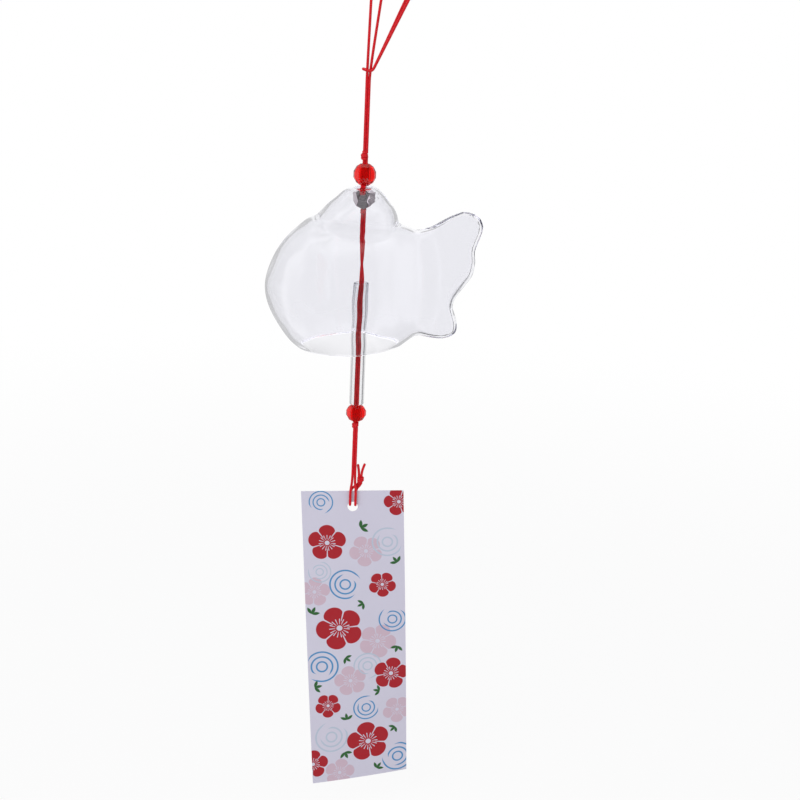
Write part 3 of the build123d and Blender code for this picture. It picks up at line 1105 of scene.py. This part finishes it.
class Print(Recipe):
    """Motifs printed on a card; each is worked out once, round the nearest of its places."""

    def nearest(self, spots):
        """How far the nearest of the places is, as a share of its radius, and in which direction."""
        best = None
        for x, y, size, turn in spots:
            way = self.fed("ShaderNodeMapping", self.uv, (x, y, 0), (0, 0, turn), (size, size, size),
                           vector_type="TEXTURE").outputs[0]
            reach = self.vector("LENGTH", way)
            if best is None:
                best, least = way, reach
                continue
            pick = self.add("ShaderNodeMix", data_type="VECTOR")
            self.feed(self.math("LESS_THAN", reach, least), pick.inputs[0])
            self.feed(best, pick.inputs[4])
            self.feed(way, pick.inputs[5])
            best = pick.outputs[1]
            least = self.math("MINIMUM", reach, least)
        x, y, _ = self.parts(best)
        return least, self.math("ARCTAN2", y, x)

    def wave(self, angle, count):
        return self.math("ABSOLUTE", self.math("COSINE", self.math("MULTIPLY", angle, count / 2)))

    def blossoms(self, spots):
        """Five round petals, with pale gaps between them, a pale middle and stamens."""
        reach, angle = self.nearest(spots)
        petal = self.wave(angle, PETALS)
        edge = self.math("MULTIPLY_ADD", self.math("POWER", petal, PETAL_ROUND), 0.4, 0.6)
        flower = self.ramp(self.math("SUBTRACT", reach, edge), 0.015, -0.015)
        gap = self.all_of(self.ramp(petal, 0.15, 0.06), self.ramp(reach, 0.3, 0.36))
        middle = self.ramp(reach, 0.14, 0.11)
        stamens = self.all_of(self.ramp(self.wave(angle, STAMENS), 0.88, 0.97),
                              self.ramp(reach, 0.16, 0.2), self.ramp(reach, 0.45, 0.42))
        return self.all_of(flower, self.math("SUBTRACT", 1.0, self.any_of(gap, middle, stamens)))

    def ripples(self, spots):
        """A small ring in two open ones, as a drop leaves on water."""
        reach, angle = self.nearest(spots)
        phase = self.math("FRACT", self.math("MULTIPLY_ADD", reach, RINGS, 0.5))
        away = self.math("ABSOLUTE", self.math("SUBTRACT", phase, 0.5))
        opening = self.math("COSINE", self.math("MULTIPLY_ADD", reach, RING_TURN, angle))
        arcs = self.any_of(self.ramp(opening, -0.72, -0.62), self.ramp(reach, 0.52, 0.48))
        return self.all_of(self.ramp(away, 0.2, 0.12), self.ramp(reach, 1.09, 1.06),
                           self.ramp(reach, 0.17, 0.2), arcs)

    def sprigs(self, spots):
        """Three pointed leaves from one stalk."""
        reach, angle = self.nearest(spots)
        leaves = []
        for turn in LEAF_TURNS:
            turned = self.math("ADD", angle, turn)
            along = self.math("MULTIPLY", reach, self.math("COSINE", turned))
            across = self.math("ABSOLUTE", self.math("MULTIPLY", reach, self.math("SINE", turned)))
            half = self.all_of(along, self.math("SUBTRACT", 1.0, along), LEAF_WIDTH)
            leaves.append(self.ramp(self.math("SUBTRACT", across, half), 0.03, -0.03))
        return self.all_of(self.any_of(*leaves), self.ramp(reach, 1.05, 1.0))


def paper_material():
    """Pale glossy card, printed in four colours."""
    card = Print("printed_card")
    card.uv = card.add("ShaderNodeUVMap", uv_map="print").outputs[0]
    colour = card.mix(card.noise(60), PAPER_WHITE, PAPER_SHADE)
    layers = [(card.blossoms, GHOST_BLOSSOMS, GHOST_PINK), (card.ripples, GHOST_RIPPLES, GHOST_BLUE),
              (card.ripples, RIPPLES, PRINT_BLUE), (card.sprigs, SPRIGS, PRINT_GREEN),
              (card.blossoms, BLOSSOMS, PRINT_RED)]
    for motif, spots, ink in layers:
        colour = card.mix(motif(spots), colour, ink)
    card.set(base_color=colour, roughness=card.ramp(card.noise(400), 0.3, 0.7, 0.34, 0.46),
             coat_weight=0.3, coat_roughness=0.12)
    card.bump(card.noise(900), CARD_GRAIN, 0.3)
    return card.material


BEAD_EDGE = 0.12 * MM
CRYSTAL_EDGE = 0.2 * MM
FACET_ANGLE = math.radians(8)


def wear(thing, material):
    thing.data.materials.clear()
    thing.data.materials.append(material)


def polish(thing, material, edge):
    """A cut bead with its material and finely rounded facet edges."""
    wear(thing, material)
    rounding = thing.modifiers.new("polished edges", "BEVEL")
    rounding.width = edge
    rounding.segments = 2
    rounding.limit_method = "ANGLE"
    rounding.angle_limit = FACET_ANGLE


red_cord = cord_material()
for piece in cord_pieces:
    wear(piece, red_cord)
red_acrylic = acrylic_material()
for bead in ("upper_bead", "lower_bead"):
    polish(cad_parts[bead], red_acrylic, BEAD_EDGE)
polish(crystal, crystal_material(), CRYSTAL_EDGE)
wear(bell, bell_material())
wear(tube, tube_material())
wear(paper, paper_material())


# Floor, light and background

FLOOR_Z = -0.345
FLOOR_R = 3.0
FLOOR_FADE = (0.25, 0.9)
FLOOR_GLOW = (0.9, 1.0)
FLOOR_COLOUR = srgb(236, 236, 238)
# Narrow stripes in the room, seen through and in the glass
STRIPE_MIDDLE = math.radians(22.5)
STRIPE_EDGES = (math.radians(16), math.radians(8))
STRIPE_SHADE = 0.6
# Dark sides of the room, seen in reflections only: edges along x, y and z of the direction
ROOM_MIDDLE = (0.0, 0.0, -0.12)
FLAG_EDGES = (math.radians(9), math.radians(18))
FLAG_SHADE = 0.5
RIGHT_EDGES = (0.35, 0.75)
RIGHT_SHADE = 0.85
FRONT_EDGES = (0.1, -0.5)
BELOW_EDGES = (-0.7, -0.9)
TOP_EDGES = (0.95, 0.75)
ROOM_SHADE = 0.95
DARK = srgb(24, 24, 30)
WORLD_LIGHT = 0.7
KEY_PLACE = (-0.6, -0.85, 0.5)
KEY_AIM = (0, 0, -0.16)
KEY_SIZE = 0.9
KEY_POWER = 3.6
GLASS_BOUNCES = 128


def seen_rays(recipe):
    """How much rays show the surroundings: any kind, through or off glass, and reflected once."""
    path = recipe.add("ShaderNodeLightPath")
    glass = recipe.any_of(path.outputs["Is Glossy Ray"], path.outputs["Is Transmission Ray"])
    seen = recipe.any_of(glass, path.outputs["Is Camera Ray"])
    reflected = recipe.math("COMPARE", path.outputs["Glossy Depth"], 1.0, 0.5)
    return seen, glass, recipe.all_of(reflected, ROOM_SHADE)


def across(recipe, x, y):
    """The angle from the nearer end of the left to right line."""
    angle = recipe.math("ABSOLUTE", recipe.math("ARCTAN2", x, y))
    return recipe.math("ABSOLUTE", recipe.math("SUBTRACT", angle, math.pi / 2))


def room_shade(recipe, x, y, z):
    """How dark the room is to reflections: at its corners, on the right, in front and below."""
    away = across(recipe, x, y)
    nearest = recipe.math("MINIMUM", away, recipe.math("SUBTRACT", math.pi / 2, away))
    shade = recipe.any_of(recipe.ramp(nearest, *FLAG_EDGES, 0.0, FLAG_SHADE),
                          recipe.ramp(x, *RIGHT_EDGES, 0.0, RIGHT_SHADE),
                          recipe.ramp(y, *FRONT_EDGES), recipe.ramp(z, *BELOW_EDGES))
    return recipe.all_of(shade, recipe.ramp(z, *TOP_EDGES))


def make_floor():
    """A plain pale floor, white to the eye away from the object's soft shadow."""
    corners = [(x * FLOOR_R, y * FLOOR_R, FLOOR_Z) for x, y in ((-1, -1), (1, -1), (1, 1), (-1, 1))]
    floor = mesh_object("floor", corners, [(0, 1, 2, 3)])
    recipe = Recipe("pale_floor")
    recipe.set(base_color=FLOOR_COLOUR, roughness=0.9)
    seen, _, reflected = seen_rays(recipe)
    place = recipe.add("ShaderNodeNewGeometry").outputs["Position"]
    reach = recipe.vector("LENGTH", recipe.vector("MULTIPLY", place, (1, 1, 0)))
    way = recipe.vector("NORMALIZE", recipe.vector("SUBTRACT", place, ROOM_MIDDLE))
    shade = recipe.all_of(room_shade(recipe, *recipe.parts(way)), reflected)
    glow = recipe.fed("ShaderNodeEmission", recipe.mix(shade, WHITE, DARK))
    share = recipe.all_of(seen, recipe.ramp(reach, *FLOOR_FADE, *FLOOR_GLOW))
    recipe.show("Material Output", share, recipe.shader, glow)
    wear(floor, recipe.material)


def make_world():
    """Even studio light and a white background, with dark stripes and sides that line the glass."""
    world = bpy.data.worlds.new("studio")
    world.use_nodes = True
    bpy.context.scene.world = world
    recipe = Recipe("studio", world.node_tree)
    seen, glass, reflected = seen_rays(recipe)
    x, y, z = recipe.parts(recipe.add("ShaderNodeTexCoord").outputs["Generated"])
    beside = recipe.math("ABSOLUTE", recipe.math("SUBTRACT", across(recipe, x, y), STRIPE_MIDDLE))
    stripe = recipe.all_of(recipe.ramp(beside, *STRIPE_EDGES, 0.0, STRIPE_SHADE), glass)
    shade = recipe.any_of(stripe, recipe.all_of(room_shade(recipe, x, y, z), reflected))
    light = recipe.tree.nodes["Background"]
    light.inputs["Color"].default_value = WHITE
    light.inputs["Strength"].default_value = WORLD_LIGHT
    shown = recipe.fed("ShaderNodeBackground", recipe.mix(shade, WHITE, DARK))
    recipe.show("World Output", seen, light, shown)


def make_lamp(name, place, aim, size, power):
    """A round soft light that glass does not show."""
    data = bpy.data.lights.new(name, "AREA")
    data.shape = "DISK"
    data.size = size
    data.energy = power
    lamp = bpy.data.objects.new(name, data)
    lamp.location = place
    lamp.rotation_euler = (Vector(aim) - Vector(place)).to_track_quat("-Z", "Y").to_euler()
    lamp.visible_glossy = False
    lamp.visible_transmission = False
    bpy.context.collection.objects.link(lamp)


make_floor()
make_world()
make_lamp("key", KEY_PLACE, KEY_AIM, KEY_SIZE, KEY_POWER)
bpy.context.scene.view_settings.view_transform = "Standard"
bpy.context.scene.cycles.max_bounces = GLASS_BOUNCES
bpy.context.scene.cycles.transmission_bounces = GLASS_BOUNCES
bpy.context.scene.cycles.glossy_bounces = GLASS_BOUNCES
